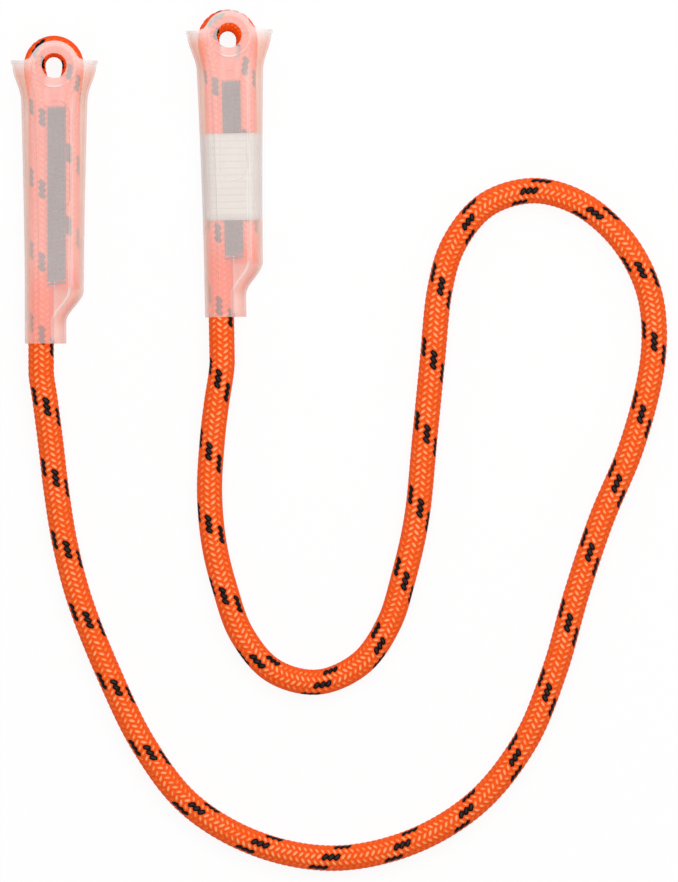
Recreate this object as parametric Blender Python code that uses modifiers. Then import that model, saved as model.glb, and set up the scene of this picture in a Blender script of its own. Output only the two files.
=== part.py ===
"""Self-belay lanyard: a length of kernmantle rope with a sewn eye at each end.

Each eye and its stitching are covered by a soft moulded sleeve with a ring for a connector.
The lanyard lies flat on a surface. Lengths are in metres, +Z is up and +Y points to the eyes.
The origin is on the surface, midway between the two sewn ends.
"""

import math

import bmesh
import bpy
from mathutils import Vector

# Rope
ROPE_DIAMETER = 0.011
MANTLE_WALL = 0.001
CORE_RING_STRANDS = 6
CORE_CLEARANCE = 0.00025
END_FACE_GAP = 0.0003
LEAD_OUT_A = 0.012
LEAD_OUT_B = 0.0205
LONGEST_STEP = 0.024
BEND_STEP = math.radians(20)
SETTLE_START = 0.022
SETTLE_END = 0.065

# Rope eye
EYE_OPENING_RADIUS = 0.00345
EYE_SQUEEZE = 0.855
EYE_CLOSES_BELOW = 0.017
EYE_CLOSING_STOPS = (1.15, 0.85, 0.6, 0.35, 0)
RUN_GAP = 0.0002

# Stitching over the two rope runs
STITCH_START = 0.0175
STITCH_LENGTH = 0.0748
STITCH_WIDTH = 0.0085
STITCH_SHIFT = 0.001
STITCH_THREAD = 0.0007
STITCH_GAP = 0.00025
STITCH_ROWS = 40
TAIL_BEYOND_STITCHING = 0.0012

# Label film wrapped round both runs inside one sleeve
LABEL_TOP = 0.0418
LABEL_LENGTH = 0.0364
LABEL_FILM = 0.00012
LABEL_GAP = 0.00015
LABEL_CORNER = 0.005

# Sleeve body
SLEEVE_WALL = 0.0009
COVER_CLEARANCE = 0.00038
SIDE_CLEARANCE = 0.0005
SHOULDER_EXTRA = 0.0016
SHOULDER_CURVE = 1.5
SHOULDER_BELOW = 0.015
SLEEVE_CORNER = 0.005
FLARE_STOPS = (0, 0.2, 0.4, 0.6, 0.72, 0.88)
TAPER_STOPS = (0, 0.3, 0.62, 1)
STEP_AFTER_TAIL = 0.0003
STEP_HEIGHT = 0.0133
STEP_RINGS = 6
NECK_LENGTH = 0.0092
NECK_PLAY = 0.0043

# Sleeve mouth, lobes and ring
HOLE_RADIUS = 0.0053
RING_RADIUS = 0.0089
RING_RISE = 0.0005
RING_TO_RECESS_END = 0.0046
RECESS_RAMP = 0.003
LOBE_RADIUS = 0.01055
LOBE_FILLET = 0.003
RIM_RISE = 0.0022
EAR_BEYOND_EYE = 0.00565
LIP_HEIGHT = 0.0018
LIP_RISE = 0.0006
MOUTH_CORNER = 0.0064

# Shallow window pressed into the front of the sleeve
WINDOW_TOP = 0.0148
WINDOW_LENGTH = 0.0472
WINDOW_WIDTH = 0.0119
WINDOW_DEPTH = 0.00035

# Facets of the round forms
MANTLE_FACETS = 12
STRAND_FACETS = 6
THREAD_FACETS = 4
EYE_STEPS = 8
CORNER_STEPS = 4
FILLET_STEPS = 4
LOBE_STEPS = 12
CIRCLE_STEPS = 24
CURVE_STEPS = 20

# Lie of the two ends
END_SPACING = 0.0744
END_STEP = 0.0129
END_B_TILT = math.radians(1.07)
EYE_B_DROP = 0.0019

# Hand-chosen route of the free rope on the surface, from end A round to end B
ROUTE = [
    (-0.0410, -0.0960),
    (-0.0388, -0.1130),
    (-0.0363, -0.1340),
    (-0.0325, -0.1570),
    (-0.0258, -0.1820),
    (-0.0138, -0.2120),
    (0.0010, -0.2420),
    (0.0206, -0.2672),
    (0.0490, -0.2838),
    (0.0815, -0.2899),
    (0.1140, -0.2833),
    (0.1423, -0.2663),
    (0.1630, -0.2403),
    (0.1757, -0.2097),
    (0.1848, -0.1777),
    (0.1953, -0.1462),
    (0.2081, -0.1154),
    (0.2164, -0.0842),
    (0.2177, -0.0610),
    (0.2133, -0.0422),
    (0.2021, -0.0243),
    (0.1855, -0.0110),
    (0.1659, -0.0060),
    (0.1462, -0.0122),
    (0.1328, -0.0285),
    (0.1266, -0.0490),
    (0.1235, -0.0790),
    (0.1203, -0.1115),
    (0.1170, -0.1446),
    (0.1111, -0.1712),
    (0.1048, -0.1906),
    (0.0931, -0.2070),
    (0.0748, -0.2150),
    (0.0556, -0.2100),
    (0.0424, -0.1945),
    (0.0354, -0.1753),
    (0.0306, -0.1554),
    (0.0288, -0.1340),
    (0.0299, -0.1130),
    (0.0317, -0.0970),
]

# Sizes that follow from the ones above
ROPE_RADIUS = ROPE_DIAMETER / 2
RUN_OFFSET = ROPE_RADIUS + RUN_GAP / 2
EYE_BEND_RADIUS = EYE_OPENING_RADIUS + EYE_SQUEEZE * ROPE_RADIUS
EYE_REACH = EYE_BEND_RADIUS + EYE_SQUEEZE * ROPE_RADIUS
TAIL_END = STITCH_START + STITCH_LENGTH + TAIL_BEYOND_STITCHING
TIGHT_BORE = (EYE_SQUEEZE * ROPE_RADIUS - MANTLE_WALL) * math.cos(math.pi / MANTLE_FACETS)
STRAND_REACH = (TIGHT_BORE - CORE_CLEARANCE) / EYE_SQUEEZE
STRAND_RADIUS = (STRAND_REACH - CORE_CLEARANCE) / 3
STRAND_RING_RADIUS = 2 * STRAND_RADIUS + CORE_CLEARANCE
CROWN_TO_THREAD_TOP = STITCH_GAP + STITCH_THREAD
CROWN_TO_WALL = CROWN_TO_THREAD_TOP + LABEL_GAP + LABEL_FILM + COVER_CLEARANCE
HALF_DEPTH = ROPE_RADIUS + CROWN_TO_WALL + SLEEVE_WALL
LOBE_HALF_DEPTH = HALF_DEPTH - RING_RISE
FOOT_HALF_WIDTH = RUN_OFFSET + ROPE_RADIUS + SIDE_CLEARANCE + SLEEVE_WALL
SHOULDER_HALF_WIDTH = FOOT_HALF_WIDTH + SHOULDER_EXTRA
EAR_HALF_WIDTH = EYE_REACH + EAR_BEYOND_EYE
STEP_START = TAIL_END + EYE_B_DROP + STEP_AFTER_TAIL
NECK_START = STEP_START + STEP_HEIGHT
SLEEVE_FOOT = NECK_START + NECK_LENGTH
NECK_RIGHT = -RUN_OFFSET + ROPE_RADIUS + NECK_PLAY + SLEEVE_WALL
RECESS_END = RING_RADIUS + RING_TO_RECESS_END
END_A_RING_Y = (SLEEVE_FOOT - EYE_REACH + EYE_B_DROP - END_STEP) / 2


def clear_scene():
    for old in list(bpy.data.objects):
        bpy.data.objects.remove(old, do_unlink=True)


def new_collection(name, helpers=False):
    collection = bpy.data.collections.new(name)
    bpy.context.scene.collection.children.link(collection)
    collection.hide_render = helpers
    return collection


def new_material(name, color, roughness, alpha=1.0):
    material = bpy.data.materials.new(name)
    material.use_nodes = True
    shader = material.node_tree.nodes["Principled BSDF"]
    shader.inputs["Base Color"].default_value = (*color, 1)
    shader.inputs["Roughness"].default_value = roughness
    shader.inputs["Metallic"].default_value = 0
    shader.inputs["Alpha"].default_value = alpha
    material.diffuse_color = (*color, alpha)
    return material


def new_end(name, place, tilt):
    """An empty at the middle of an end's ring: its local +Y points out through the eye."""
    end = bpy.data.objects.new(name, None)
    end.empty_display_size = RING_RADIUS
    end.location = place
    end.rotation_euler = (0, 0, tilt)
    lanyard.objects.link(end)
    return end


def ease(share):
    """Rises smoothly from 0 to 1 as share does, and stays level outside that."""
    share = min(max(share, 0), 1)
    return share * share * (3 - 2 * share)


def add_object(name, mesh, material, collection, parent=None):
    part = bpy.data.objects.new(name, mesh)
    if material:
        mesh.materials.append(material)
    collection.objects.link(part)
    part.parent = parent
    return part


def add_tube(name, points, radius, swell, facets, material, parent=None, capped=True):
    """A round tube along points. swell scales its radius at each point."""
    curve = bpy.data.curves.new(name, "CURVE")
    curve.dimensions = "3D"
    curve.bevel_depth = radius
    curve.bevel_resolution = (facets - 4) // 2
    curve.use_fill_caps = capped
    spline = curve.splines.new("POLY")
    spline.points.add(len(points) - 1)
    for knot, place, scale in zip(spline.points, points, swell):
        knot.co = (*place, 1)
        knot.radius = scale
    return add_object(name, curve, material, lanyard, parent)


def add_wall(part, thickness, side):
    """Gives an open skin its thickness, inwards when side is -1 and outwards when it is 1."""
    wall = part.modifiers.new("Wall", "SOLIDIFY")
    wall.thickness = thickness
    wall.offset = side
    wall.use_even_offset = True


def add_mantle(name, points, swell, parent):
    """The rope's outer tube, open at both ends so that the core lies in its bore."""
    skin = add_tube(name, points, ROPE_RADIUS, swell, MANTLE_FACETS, None, capped=False)
    graph = bpy.context.evaluated_depsgraph_get()
    mesh = bpy.data.meshes.new_from_object(skin.evaluated_get(graph))
    bpy.data.objects.remove(skin)
    mesh.shade_smooth()
    add_wall(add_object(name, mesh, mantle_colour, lanyard, parent), MANTLE_WALL, -1)


def add_strand(name, points, swell, parent):
    add_tube(name, points, STRAND_RADIUS, swell, STRAND_FACETS, core_colour, parent)


def sideways_along(points):
    """The sideways direction at each point of a route, square to its run and level."""
    sideways = []
    for i in range(len(points)):
        run = points[min(i + 1, len(points) - 1)] - points[max(i - 1, 0)]
        sideways.append(Vector((-run.y, run.x, 0)).normalized())
    return sideways


def add_rope(label, points, swell, parent=None):
    """One stretch of rope: its mantle, a centre core strand and the ring of strands round it."""
    add_mantle(f"mantle_{label}", points, swell, parent)
    add_strand(f"core_{label}_0", points, swell, parent)
    sideways = sideways_along(points)
    for strand in range(CORE_RING_STRANDS):
        angle = math.tau * strand / CORE_RING_STRANDS
        out = STRAND_RING_RADIUS * math.cos(angle)
        up = Vector((0, 0, STRAND_RING_RADIUS * math.sin(angle)))
        places = [
            place + scale * (out * side + up)
            for place, side, scale in zip(points, sideways, swell)
        ]
        add_strand(f"core_{label}_{strand + 1}", places, swell, parent)


def eye_route(drop):
    """The rope's route through an end, as (place, swell) pairs from the neck's foot round the
    eye to the tail's cut end. drop is how far the eye sits below the middle of the ring."""

    def run(side, below):
        closed = ease(below / EYE_CLOSES_BELOW)
        across = EYE_BEND_RADIUS + (RUN_OFFSET - EYE_BEND_RADIUS) * closed
        return Vector((side * across, -below - drop, 0)), EYE_SQUEEZE + (1 - EYE_SQUEEZE) * closed

    spread = [EYE_CLOSES_BELOW * share for share in EYE_CLOSING_STOPS]
    bend = []
    for step in range(1, EYE_STEPS):
        angle = math.pi - math.pi * step / EYE_STEPS
        place = Vector((math.cos(angle), math.sin(angle), 0)) * EYE_BEND_RADIUS
        bend.append((place - Vector((0, drop, 0)), EYE_SQUEEZE))
    return (
        [run(-1, SLEEVE_FOOT - drop)]
        + [run(-1, below) for below in spread]
        + bend
        + [run(1, below) for below in reversed(spread)]
        + [run(1, TAIL_END)]
    )


def add_eye(label, drop, parent):
    route = eye_route(drop)
    add_rope(f"eye_{label}", [place for place, _ in route], [scale for _, scale in route], parent)


def add_stitching(label, face, drop, parent):
    """One thread of the lock stitching, back and forth across both runs.
    face is 1 on the front of the rope and -1 on its back."""
    height = face * (ROPE_RADIUS + STITCH_GAP + STITCH_THREAD / 2)
    pitch = (STITCH_LENGTH - STITCH_THREAD) / (STITCH_ROWS - 1)
    top = -STITCH_START - STITCH_THREAD / 2 - drop
    reach = (STITCH_WIDTH - STITCH_THREAD) / 2
    points = []
    for row in range(STITCH_ROWS):
        first = 1 if row % 2 else -1
        for side in (first, -first):
            points.append(Vector((STITCH_SHIFT + side * reach, top - row * pitch, height)))
    swell = [1] * len(points)
    add_tube(label, points, STITCH_THREAD / 2, swell, THREAD_FACETS, thread_colour, parent)


def rounded_ring(below, left, right, half_depth, corner):
    """A rounded rectangle square to the sleeve's run, as points in order round it."""
    ring = []
    corners = (
        (right - corner, half_depth - corner, 0),
        (left + corner, half_depth - corner, math.pi / 2),
        (left + corner, corner - half_depth, math.pi),
        (right - corner, corner - half_depth, 3 * math.pi / 2),
    )
    for across, up, start in corners:
        for step in range(CORNER_STEPS + 1):
            angle = start + math.pi / 2 * step / CORNER_STEPS
            x = across + corner * math.cos(angle)
            ring.append(Vector((x, -below, up + corner * math.sin(angle))))
    return ring


def loft(name, rings, material, collection, parent=None):
    """An open skin through rings of like points, its faces pointing outwards."""
    form = bmesh.new()
    rows = [[form.verts.new(place) for place in ring] for ring in rings]
    for upper, lower in zip(rows, rows[1:]):
        for i in range(len(upper)):
            j = (i + 1) % len(upper)
            form.faces.new((upper[i], upper[j], lower[j], lower[i]))
    bmesh.ops.recalc_face_normals(form, faces=form.faces)
    mesh = bpy.data.meshes.new(name)
    form.to_mesh(mesh)
    form.free()
    return add_object(name, mesh, material, collection, parent)


def prism(name, outline, low, high, parent):
    """A hidden cutter: a flat outline raised from low to high."""
    form = bmesh.new()
    base = form.faces.new([form.verts.new((x, y, low)) for x, y in outline])
    raised = bmesh.ops.extrude_face_region(form, geom=[base])
    top = [v for v in raised["geom"] if isinstance(v, bmesh.types.BMVert)]
    bmesh.ops.translate(form, verts=top, vec=(0, 0, high - low))
    bmesh.ops.recalc_face_normals(form, faces=form.faces)
    mesh = bpy.data.meshes.new(name)
    form.to_mesh(mesh)
    form.free()
    cutter = add_object(name, mesh, None, cutters, parent)
    cutter.hide_render = True
    cutter.display_type = "WIRE"
    return cutter


def circle(radius):
    turns = [math.tau * step / CIRCLE_STEPS for step in range(CIRCLE_STEPS)]
    return [(radius * math.cos(turn), radius * math.sin(turn)) for turn in turns]


def combine(part, other, operation):
    cut = part.modifiers.new(other.name, "BOOLEAN")
    cut.operation = operation
    cut.solver = "EXACT"
    cut.object = other


def sleeve_half_width(below):
    """Half the sleeve's outside width, from its mouth down to the step."""
    flare = 1 - ease((below - LIP_HEIGHT + RIM_RISE) / (SHOULDER_BELOW - LIP_HEIGHT + RIM_RISE))
    taper = (STEP_START - below) / (STEP_START - SHOULDER_BELOW)
    narrow = FOOT_HALF_WIDTH + SHOULDER_EXTRA * min(max(taper, 0), 1) ** SHOULDER_CURVE
    return narrow + (EAR_HALF_WIDTH - LIP_RISE - SHOULDER_HALF_WIDTH) * flare


def sleeve_rings():
    """The sleeve's outer sections, from above its lobes down to its neck's foot."""
    ear = EAR_HALF_WIDTH
    rings = [
        rounded_ring(below, -ear, ear, LOBE_HALF_DEPTH, MOUTH_CORNER)
        for below in (-LOBE_RADIUS - LIP_HEIGHT, LIP_HEIGHT - RIM_RISE)
    ]
    for share in FLARE_STOPS:
        below = LIP_HEIGHT - RIM_RISE + LIP_RISE + (SHOULDER_BELOW - LIP_HEIGHT) * share
        half = sleeve_half_width(below)
        corner = MOUTH_CORNER + (SLEEVE_CORNER - MOUTH_CORNER) * share
        recess = ease((below - RECESS_END + RECESS_RAMP) / RECESS_RAMP)
        depth = LOBE_HALF_DEPTH + RING_RISE * recess
        rings.append(rounded_ring(below, -half, half, depth, corner))
    for share in TAPER_STOPS:
        below = SHOULDER_BELOW + (STEP_START - SHOULDER_BELOW) * share
        half = sleeve_half_width(below)
        rings.append(rounded_ring(below, -half, half, HALF_DEPTH, SLEEVE_CORNER))
    for step in range(1, STEP_RINGS + 1):
        below = STEP_START + STEP_HEIGHT * step / STEP_RINGS
        right = FOOT_HALF_WIDTH + (NECK_RIGHT - FOOT_HALF_WIDTH) * ease(step / STEP_RINGS)
        rings.append(rounded_ring(below, -FOOT_HALF_WIDTH, right, HALF_DEPTH, SLEEVE_CORNER))
    foot = rounded_ring(SLEEVE_FOOT, -FOOT_HALF_WIDTH, NECK_RIGHT, HALF_DEPTH, SLEEVE_CORNER)
    return [*rings, foot]


def mouth_outline():
    """What is cut away above the rim, which leaves the ears and the two round lobes."""
    far = EAR_HALF_WIDTH + LIP_HEIGHT
    above = LOBE_RADIUS + 2 * LIP_HEIGHT
    fillet_up = RIM_RISE + LOBE_FILLET
    fillet_across = math.sqrt((LOBE_RADIUS + LOBE_FILLET) ** 2 - fillet_up**2)
    meet = math.atan2(fillet_up, fillet_across)
    right = [(far, above), (far, RIM_RISE)]
    for step in range(FILLET_STEPS + 1):
        angle = -math.pi / 2 - (math.pi / 2 - meet) * step / FILLET_STEPS
        x = fillet_across + LOBE_FILLET * math.cos(angle)
        right.append((x, fillet_up + LOBE_FILLET * math.sin(angle)))
    for step in range(1, LOBE_STEPS // 2 + 1):
        angle = meet + (math.pi / 2 - meet) * step / (LOBE_STEPS // 2)
        right.append((LOBE_RADIUS * math.cos(angle), LOBE_RADIUS * math.sin(angle)))
    return right + [(-x, y) for x, y in reversed(right[:-1])]


def window_outline():
    """A slot with round ends."""
    radius = WINDOW_WIDTH / 2
    outline = []
    for start, middle in ((0, radius), (math.pi, WINDOW_LENGTH - radius)):
        for step in range(CIRCLE_STEPS // 2 + 1):
            angle = start + math.tau * step / CIRCLE_STEPS
            up = radius * math.sin(angle) - middle - WINDOW_TOP
            outline.append((radius * math.cos(angle), up))
    return outline


def add_sleeve(label, parent):
    """The moulded sleeve: a thin-walled tube over both runs, open at its mouth and its neck."""
    sleeve = loft(f"sleeve_{label}", sleeve_rings(), sleeve_colour, lanyard, parent)
    add_wall(sleeve, SLEEVE_WALL, -1)
    beyond = 2 * HALF_DEPTH
    mouth = prism(f"mouth_{label}", mouth_outline(), -beyond, beyond, parent)
    combine(sleeve, mouth, "DIFFERENCE")
    in_wall = LOBE_HALF_DEPTH - SLEEVE_WALL / 2
    for face, low, high in (("front", in_wall, HALF_DEPTH), ("back", -HALF_DEPTH, -in_wall)):
        ring = prism(f"ring_{face}_{label}", circle(RING_RADIUS), low, high, parent)
        combine(sleeve, ring, "UNION")
    hole = prism(f"hole_{label}", circle(HOLE_RADIUS), -beyond, beyond, parent)
    combine(sleeve, hole, "DIFFERENCE")
    floor = HALF_DEPTH - WINDOW_DEPTH
    window = prism(f"window_{label}", window_outline(), floor, beyond, parent)
    combine(sleeve, window, "DIFFERENCE")


def add_label(parent):
    """The closed band of film round both runs and their stitching."""
    half_width = RUN_OFFSET + ROPE_RADIUS + LABEL_GAP
    half_depth = ROPE_RADIUS + CROWN_TO_THREAD_TOP + LABEL_GAP
    rings = [
        rounded_ring(below, -half_width, half_width, half_depth, LABEL_CORNER)
        for below in (LABEL_TOP, LABEL_TOP + LABEL_LENGTH)
    ]
    add_wall(loft("label_b", rings, label_colour, lanyard, parent), LABEL_FILM, 1)


def smooth_curve(points):
    """A fine run of places on a smooth curve from the second of points to the last but one."""
    fine = []
    for a, b, c, d in zip(points, points[1:], points[2:], points[3:]):
        for step in range(CURVE_STEPS):
            t = step / CURVE_STEPS
            level = 2 * b + (c - a) * t
            bend = (2 * a - 5 * b + 4 * c - d) * t**2 + (3 * b - a - 3 * c + d) * t**3
            fine.append((level + bend) / 2)
    return [*fine, points[-2].copy()]


def thin_out(fine):
    """Places picked along a fine run: LONGEST_STEP apart, and closer where it bends."""
    reach = [0]
    for before, near, far in zip([fine[0], *fine], fine, fine[1:]):
        turn = (near - before).angle(far - near, 0)
        reach.append(reach[-1] + max((far - near).length / LONGEST_STEP, turn / BEND_STEP))
    count = math.ceil(reach[-1])
    picked = []
    at = 0
    for step in range(count + 1):
        wanted = reach[-1] * step / count
        while at < len(fine) - 2 and reach[at + 1] < wanted:
            at += 1
        share = (wanted - reach[at]) / (reach[at + 1] - reach[at])
        picked.append(fine[at].lerp(fine[at + 1], share))
    return picked


def free_rope_points():
    """The free rope: straight out of each neck, down onto the surface and along the route."""
    leads = []
    for end, lead_out in ((end_a, LEAD_OUT_A), (end_b, LEAD_OUT_B)):
        foot = Vector((-RUN_OFFSET, -SLEEVE_FOOT - END_FACE_GAP, 0))
        lead = foot - Vector((0, lead_out, 0))
        leads.append([(end.matrix_basis @ place).to_2d() for place in (foot, lead)])
    from_a, from_b = leads
    route = [*from_a, *(Vector(place) for place in ROUTE), *reversed(from_b)]
    level = [from_a[0], *thin_out(smooth_curve(route)), from_b[0]]
    reach = [0]
    for near, far in zip(level, level[1:]):
        reach.append(reach[-1] + (far - near).length)
    points = []
    for place, length in zip(level, reach):
        from_end = min(length, reach[-1] - length)
        settled = ease((from_end - SETTLE_START) / (SETTLE_END - SETTLE_START))
        height = HALF_DEPTH + (ROPE_RADIUS - HALF_DEPTH) * settled
        points.append(Vector((*place, height)))
    return points


clear_scene()
lanyard = new_collection("self_belay_lanyard")
cutters = new_collection("cutters", helpers=True)

mantle_colour = new_material("braided_mantle", (1.0, 0.13, 0.012), 0.6)
core_colour = new_material("core_yarn", (0.85, 0.83, 0.78), 0.7)
thread_colour = new_material("stitching_thread", (0.03, 0.03, 0.032), 0.6)
sleeve_colour = new_material("moulded_sleeve", (0.9, 0.62, 0.55), 0.35, 0.45)
label_colour = new_material("label_film", (0.82, 0.78, 0.74), 0.5)

end_a = new_end("end_a", (-END_SPACING / 2, END_A_RING_Y, HALF_DEPTH), 0)
end_b = new_end("end_b", (END_SPACING / 2, END_A_RING_Y + END_STEP, HALF_DEPTH), END_B_TILT)

free_points = free_rope_points()
add_rope("free", free_points, [1] * len(free_points))
for end_label, end_frame, eye_drop in (("a", end_a, 0), ("b", end_b, EYE_B_DROP)):
    add_eye(end_label, eye_drop, end_frame)
    add_stitching(f"stitching_front_{end_label}", 1, eye_drop, end_frame)
    add_stitching(f"stitching_back_{end_label}", -1, eye_drop, end_frame)
    add_sleeve(end_label, end_frame)
add_label(end_b)
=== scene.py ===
"""The looks of the self-belay lanyard: braided rope, sewn ends and milky sleeves round the CAD frame."""

import math

import bmesh
import bpy
import numpy as np
from mathutils import Matrix, Vector


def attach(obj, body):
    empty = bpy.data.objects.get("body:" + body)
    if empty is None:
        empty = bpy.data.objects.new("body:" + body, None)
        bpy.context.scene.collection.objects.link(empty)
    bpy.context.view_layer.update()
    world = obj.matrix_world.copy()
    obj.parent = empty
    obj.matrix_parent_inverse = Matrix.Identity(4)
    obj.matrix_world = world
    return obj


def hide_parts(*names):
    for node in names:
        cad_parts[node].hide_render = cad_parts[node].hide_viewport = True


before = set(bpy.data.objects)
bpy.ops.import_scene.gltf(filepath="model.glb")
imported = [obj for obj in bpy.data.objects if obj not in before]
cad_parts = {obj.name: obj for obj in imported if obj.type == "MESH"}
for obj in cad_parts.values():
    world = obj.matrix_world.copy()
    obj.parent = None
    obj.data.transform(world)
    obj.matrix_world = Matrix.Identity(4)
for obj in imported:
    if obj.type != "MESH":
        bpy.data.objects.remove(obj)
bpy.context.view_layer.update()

# Camera
# The lanyard lies on a table and is seen from straight above through a long lens, so that its
# rope and both ends show almost no perspective. The longer side of the picture is 375 mm.
PICTURE_LENGTH = 0.3753
PICTURE_MIDDLE = (0.08386, -0.11246)
CAMERA_HEIGHT = 12.0
SENSOR = 36.0
FARTHEST_SEEN = 20

lens = bpy.data.cameras.new("camera")
lens.sensor_width = SENSOR
lens.lens = SENSOR * CAMERA_HEIGHT / PICTURE_LENGTH
lens.clip_end = FARTHEST_SEEN
camera = bpy.data.objects.new("camera", lens)
camera.location = (*PICTURE_MIDDLE, CAMERA_HEIGHT)
bpy.context.scene.collection.objects.link(camera)
bpy.context.scene.camera = camera

# Free rope
# An 11 mm kernmantle rope, dyed orange with three black tracer yarns. Its mantle is braided from
# twelve yarns each way, every yarn passing over two and under two. It leaves the neck of end A,
# lies on the table in two loose bends and goes back into the neck of end B.
ROPE_DIAMETER = 0.011
END_B_TILT = math.radians(1.07)
END_A = Matrix.Translation((-0.0372, 0.047175, 0.008))
END_B = Matrix.Translation((0.0372, 0.060075, 0.008)) @ Matrix.Rotation(END_B_TILT, 4, "Z")
RUN_OFFSET = 0.0056
NECK_FOOT = 0.1182
FOOT_GAP = 0.0003
LEAD_A = 0.012
LEAD_B = 0.0205
LEAD_STEPS = 12
LINE_STEPS = 20
SETTLE_START = 0.022
SETTLE_END = 0.065
ROUTE = [
    (-0.0410, -0.0960),
    (-0.0388, -0.1130),
    (-0.0363, -0.1340),
    (-0.0325, -0.1570),
    (-0.0258, -0.1820),
    (-0.0138, -0.2120),
    (0.0010, -0.2420),
    (0.0206, -0.2672),
    (0.0490, -0.2838),
    (0.0815, -0.2899),
    (0.1140, -0.2833),
    (0.1423, -0.2663),
    (0.1630, -0.2403),
    (0.1757, -0.2097),
    (0.1848, -0.1777),
    (0.1953, -0.1462),
    (0.2081, -0.1154),
    (0.2164, -0.0842),
    (0.2177, -0.0610),
    (0.2133, -0.0422),
    (0.2021, -0.0243),
    (0.1855, -0.0110),
    (0.1659, -0.0060),
    (0.1462, -0.0122),
    (0.1328, -0.0285),
    (0.1266, -0.0490),
    (0.1235, -0.0790),
    (0.1203, -0.1115),
    (0.1170, -0.1446),
    (0.1111, -0.1712),
    (0.1048, -0.1906),
    (0.0931, -0.2070),
    (0.0748, -0.2150),
    (0.0556, -0.2100),
    (0.0424, -0.1945),
    (0.0354, -0.1753),
    (0.0306, -0.1554),
    (0.0288, -0.1340),
    (0.0299, -0.1130),
    (0.0317, -0.0970),
]

CORE_STRANDS = 7
YARNS_EACH_WAY = 12
TRACER_YARNS = 3
BRAID_PITCH = 0.03096
FIRST_MARK = 0.0279
FLOAT_LENGTH = 0.0046
FLOAT_WIDTH = 0.0024
FLOAT_ANGLE = math.radians(55)
FLOAT_POINT = 0.12
FLOAT_THICKNESS = 0.0003
FLOAT_DIP = 0.0004
FLOAT_LEVEL_SHARE = 0.25
FLOAT_FACES = 4
UNDERLAY_DEPTH = 0.00035
UNDERLAY_SIDES = 20
DRIFT_AT = (0, 0.06, 0.245, 0.43, 0.62, 0.71, 0.835, 0.923, 1.075)
DRIFT = (-0.0009, -0.0018, 0, 0, 0.0025, -0.0003, 0.0024, -0.0028, -0.0024)
ROLL_AT = (0, 0.15, 0.25, 0.35, 0.68, 0.78, 0.88, 0.93, 1.075)
ROLL = (4, 7, 7, 0, 0, 9, 16, 16, 10)

# Each set of shades runs from a painted shade, where a float dives, through the yarn's own colour to a
# painted highlight on its crown.
ORANGE_SHADES = ((0.92, 0.075, 0.004), (1.0, 0.21, 0.03), (1.0, 0.385, 0.18))
TRACER_SHADES = ((0.004, 0.001, 0.001), (0.01, 0.005, 0.005), (0.028, 0.02, 0.02))
SHADE_STOPS = (0.25, 0.65, 1)
ORANGE_ROUGHNESS = 0.6
TRACER_ROUGHNESS = 0.5
YARN_SHINE = 0.12
YARN_SHEEN = 0.4
YARN_SHEEN_ROUGHNESS = 0.4
FILAMENT_GRAIN = (2.5, 14, 1)
FILAMENT_DETAIL = 3
FILAMENT_SHARE = 0.62
FILAMENT_RELIEF = 0.5
RELIEF_HEIGHT = 0.0001
# Each float's crown is painted as a highlight, made stronger where the yarn faces up, as light falls from
# above.
CROWN_SHAPE = (1.4, 1.85)
CROWN_FADE = (0.5, 0.05)
CROWN_UNEVEN = (0.55, 1.45)
CROWN_FACING = (0.65, 0.98)
CROWN_TOP_LIGHT = (0.15, 1.4)

CELL_ALONG = BRAID_PITCH / YARNS_EACH_WAY
CELL_ROUND = math.pi * ROPE_DIAMETER / (YARNS_EACH_WAY / 2)


def ease(share):
    """Rises smoothly from 0 to 1 as share does, and stays level outside that."""
    share = np.clip(share, 0, 1)
    return share * share * (3 - 2 * share)


def smooth_line(knots):
    """Places on a smooth line from the second knot to the last but one."""
    share = np.arange(LINE_STEPS)[:, None] / LINE_STEPS
    spans = []
    for a, b, c, d in zip(knots, knots[1:], knots[2:], knots[3:]):
        bend = (2 * a - 5 * b + 4 * c - d) * share**2 + (3 * b - a - 3 * c + d) * share**3
        spans.append((2 * b + (c - a) * share + bend) / 2)
    return np.concatenate([*spans, knots[-2:-1]])


def reach_along(line):
    """The length of a line up to each of its places."""
    return np.concatenate([[0], np.cumsum(np.linalg.norm(np.diff(line, axis=0), axis=1))])


def neck_places(end, lead):
    """Where the rope leaves a neck, and the end of its straight lead outside it."""
    foot = Vector((-RUN_OFFSET, -NECK_FOOT - FOOT_GAP, 0))
    return [end @ foot, end @ (foot - Vector((0, lead, 0)))]


def free_line():
    """The middle of the free rope, from the neck of end A to the neck of end B."""
    from_a, lead_a = neck_places(END_A, LEAD_A)
    from_b, lead_b = neck_places(END_B, LEAD_B)
    knots = np.array([from_a[:2], lead_a[:2], *ROUTE, lead_b[:2], from_b[:2]])
    lead_share = np.linspace(0, 1, LEAD_STEPS, endpoint=False)[:, None]
    level = np.concatenate([
        knots[0] + (knots[1] - knots[0]) * lead_share,
        smooth_line(knots),
        knots[-1] + (knots[-2] - knots[-1]) * lead_share[::-1],
    ])
    reach = reach_along(level)
    from_end = np.minimum(reach, reach[-1] - reach)
    settled = ease((from_end - SETTLE_START) / (SETTLE_END - SETTLE_START))
    height = from_a.z + (ROPE_DIAMETER / 2 - from_a.z) * settled
    return np.column_stack([level, height])


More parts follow.
